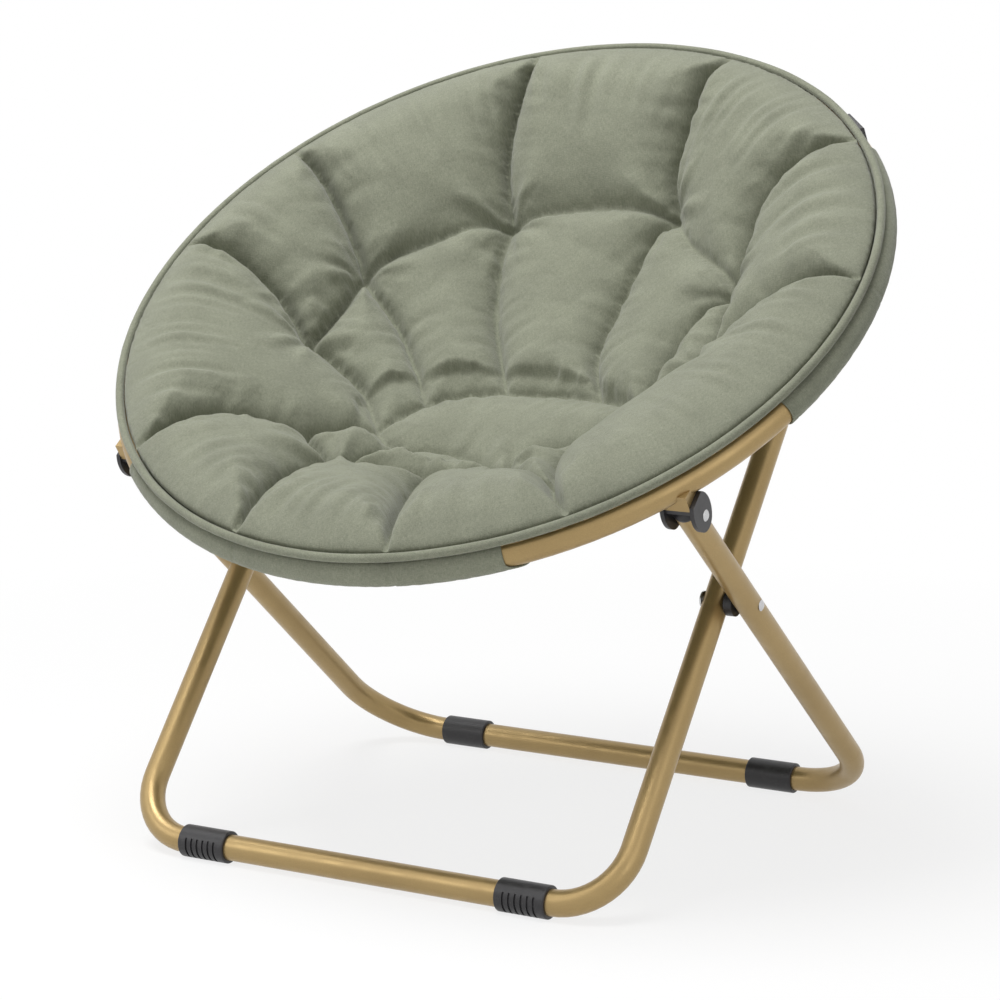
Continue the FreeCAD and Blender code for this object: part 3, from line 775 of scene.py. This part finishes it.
piping_radius = 0.0042
piping_ring = 0.3855
piping_height = 0.0189
groove_turn = 0.86 * math.pi


def make_piping():
    """A round cord carried round the rim, with a shallow groove inside and a slight waver."""
    turn = np.linspace(0, 2 * math.pi, 1100, endpoint=False)
    around = np.linspace(0, 2 * math.pi, 20, endpoint=False)
    along = turn * piping_ring
    waver = 0.00035 * wavelets(np.sin(turn) * 0.3, 31, 5, 0.05, 0.2)
    thick = piping_radius * (1 + 0.035 * wavelets(np.cos(turn) * 0.4, 33, 9, 0.012, 0.05))
    groove = np.exp(-(((around - groove_turn) / 0.2) ** 2))
    radius = thick[:, None] * (1 - 0.16 * groove[None, :])
    flat = piping_ring + waver[:, None] + radius * np.cos(around)
    x, s = flat * np.sin(turn)[:, None], -flat * np.cos(turn)[:, None]
    points = on_ring(x, s, piping_height + radius * np.sin(around))
    turn_open = np.append(along, 2 * math.pi * piping_ring)
    around_open = np.append(around, 2 * math.pi)
    u, v = np.meshgrid(turn_open, around_open * piping_radius, indexing="ij")
    cloth = np.stack([(u + v) * 0.707, (v - u) * 0.707], -1)
    return shell("piping", points, cloth, sage_fabric, close_rows=True, close_columns=True)


piping = make_piping()
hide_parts("cushion_piping")
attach(piping, "seat")

# Floor, light and camera
# A plain white floor under a white sky, soft light from above and both sides, and a camera at the height
# and angle from which the chair was seen.

floor_white = (0.93, 0.93, 0.93)
floor_half = 40.0
floor_glow = 0.8
shadow_reach = 0.45
floor_fade = 1.5
sky_light = 0.27


def make_floor():
    """A square of white floor that takes the chair's shadow and glows white to the camera further out."""
    material, tree, surface = new_finish("white_floor")
    ray = node(tree, "ShaderNodeLightPath")
    rays = {0: ray.outputs["Is Camera Ray"], 1: ray.outputs["Is Glossy Ray"]}
    seen = node(tree, "ShaderNodeMath", rays, operation="MAXIMUM")
    place = node(tree, "ShaderNodeTexCoord").outputs["Object"]
    away = node(tree, "ShaderNodeVectorMath", {0: place}, operation="LENGTH").outputs["Value"]
    white = spread(tree, away, shadow_reach, floor_fade, floor_glow, 1.0)
    surface.inputs["Base Color"].default_value = (*floor_white, 1.0)
    surface.inputs["Roughness"].default_value = 0.9
    surface.inputs["Specular IOR Level"].default_value = 0.0
    glow = node(tree, "ShaderNodeEmission", {"Color": (1.0, 1.0, 1.0, 1.0), "Strength": 1.0})
    share = node(tree, "ShaderNodeMath", {0: seen.outputs["Value"], 1: white}, operation="MULTIPLY")
    inputs = {0: share.outputs["Value"], 1: surface.outputs["BSDF"], 2: glow.outputs["Emission"]}
    both = node(tree, "ShaderNodeMixShader", inputs)
    out = next(n for n in tree.nodes if n.type == "OUTPUT_MATERIAL")
    tree.links.new(both.outputs["Shader"], out.inputs["Surface"])
    across = np.linspace(-floor_half, floor_half, 9)
    x, y = np.meshgrid(across, across, indexing="ij")
    points = np.stack([x, y, np.zeros(x.shape)], -1)
    return shell("floor", points, points[..., :2], material)


make_floor()

world = bpy.data.worlds.new("studio")
bpy.context.scene.world = world
world.use_nodes = True
sky = world.node_tree
background = sky.nodes["Background"]
ray = node(sky, "ShaderNodeLightPath")
rays = {0: ray.outputs["Is Camera Ray"], 1: ray.outputs["Is Glossy Ray"]}
seen = node(sky, "ShaderNodeMath", rays, operation="MAXIMUM")
rays = {0: seen.outputs["Value"], 1: ray.outputs["Is Transmission Ray"]}
seen = node(sky, "ShaderNodeMath", rays, operation="MAXIMUM")
levels = {"Value": seen.outputs["Value"], "To Min": sky_light, "To Max": 1.0}
strength = node(sky, "ShaderNodeMapRange", levels)
background.inputs["Color"].default_value = (1.0, 1.0, 1.0, 1.0)
sky.links.new(strength.outputs["Result"], background.inputs["Strength"])


def soft_light(name, place, aim, size, power):
    """A square lamp at a place, turned to look at its aim."""
    lamp = bpy.data.lights.new(name, "AREA")
    lamp.size, lamp.energy = size, power
    light = bpy.data.objects.new(name, lamp)
    bpy.context.scene.collection.objects.link(light)
    light.location = place
    light.rotation_euler = (Vector(aim) - Vector(place)).to_track_quat("-Z", "Y").to_euler()


soft_light("overhead", (-0.5, -0.5, 3.2), (0.0, 0.0, 0.4), 2.0, 92.0)
soft_light("front_left", (-2.2, -2.6, 2.0), (0.0, 0.0, 0.4), 1.6, 20.0)
soft_light("front_right", (2.6, -1.6, 1.6), (0.0, 0.0, 0.4), 1.6, 10.0)

camera_azimuth = math.radians(30.126)
camera_elevation = math.radians(9.466)
camera_distance = 2.596
camera_aim = Vector((0.1573, -0.2623, 0.3816))
camera_lens = 105.75

camera = bpy.data.cameras.new("camera")
camera.lens = camera_lens
camera.sensor_width = 36.0
viewer = bpy.data.objects.new("camera", camera)
bpy.context.scene.collection.objects.link(viewer)
away = Vector(
    (
        math.sin(camera_azimuth) * math.cos(camera_elevation),
        -math.cos(camera_azimuth) * math.cos(camera_elevation),
        math.sin(camera_elevation),
    )
)
viewer.location = camera_aim + away * camera_distance
viewer.rotation_euler = away.to_track_quat("Z", "Y").to_euler()
camera.clip_start, camera.clip_end = 0.05, 60.0
bpy.context.scene.camera = viewer
bpy.context.scene.view_settings.view_transform = "Standard"
